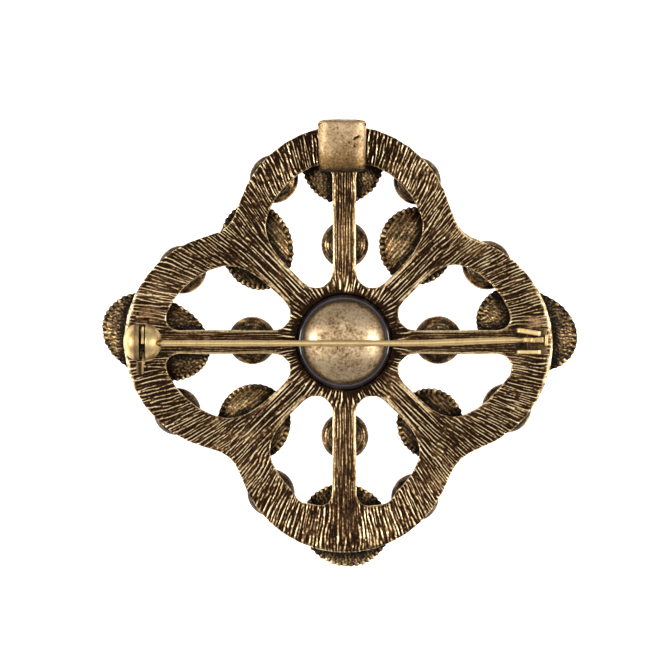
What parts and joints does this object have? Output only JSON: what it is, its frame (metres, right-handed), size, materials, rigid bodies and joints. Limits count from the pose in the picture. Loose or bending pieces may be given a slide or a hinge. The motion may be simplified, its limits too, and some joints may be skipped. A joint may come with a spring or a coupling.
{
  "type": "openwork fibula brooch",
  "caption": "Four-lobed openwork brooch with spokes, cups on its front, a domed boss, and a hinged pin, a ball safety catch and a bail on its back, lying face down.",
  "frame": {"origin": "under the middle of the brooch, on the surface it lies on, face down", "axes": "+Z out of the back, +X from the catch to the pin joint, +Y to the bail"},
  "size_m": [0.066, 0.0626, 0.0117],
  "materials": {
    "cast_brass": "antiqued, stroked casting with dark recesses",
    "cup_brass": "dark patina",
    "satin_brass": "satin, mottled",
    "yellow_brass": "cleaner, brushed"
  },
  "bodies": {
    "root": {"frame": "cast_brass", "centre_boss": "satin_brass", "lobe_cup_top": "cup_brass", "lobe_cup_bottom": "cup_brass", "lobe_cup_left": "cup_brass", "lobe_cup_right": "cup_brass", "corner_cup_top_left": "cup_brass", "corner_cup_top_right": "cup_brass", "corner_cup_bottom_left": "cup_brass", "corner_cup_bottom_right": "cup_brass", "spoke_cup_top": "cup_brass", "spoke_cup_bottom": "cup_brass", "spoke_cup_left": "cup_brass", "spoke_cup_right": "cup_brass", "ring_cup_1": "cup_brass", "ring_cup_2": "cup_brass", "ring_cup_3": "cup_brass", "ring_cup_4": "cup_brass", "ring_cup_5": "cup_brass", "ring_cup_6": "cup_brass", "ring_cup_7": "cup_brass", "ring_cup_8": "cup_brass", "bail": "satin_brass", "catch_housing": "yellow_brass", "pin_joint": "yellow_brass"},
    "pin": {"pin": "yellow_brass"},
    "catch_lever": {"catch_lever": "yellow_brass"}
  },
  "joints": [
    {"name": "pin_swing", "type": "hinge", "parent": "root", "child": "pin", "pos_m": [0.0265, 0.00042, 0.0092], "axis": [0, 1, 0], "range_deg": [0, 100]},
    {"name": "lever_roll", "type": "hinge", "parent": "root", "child": "catch_lever", "pos_m": [-0.0274, 0.00012, 0.0092], "axis": [-1, 0, 0], "range_deg": [0, 85]}
  ]
}
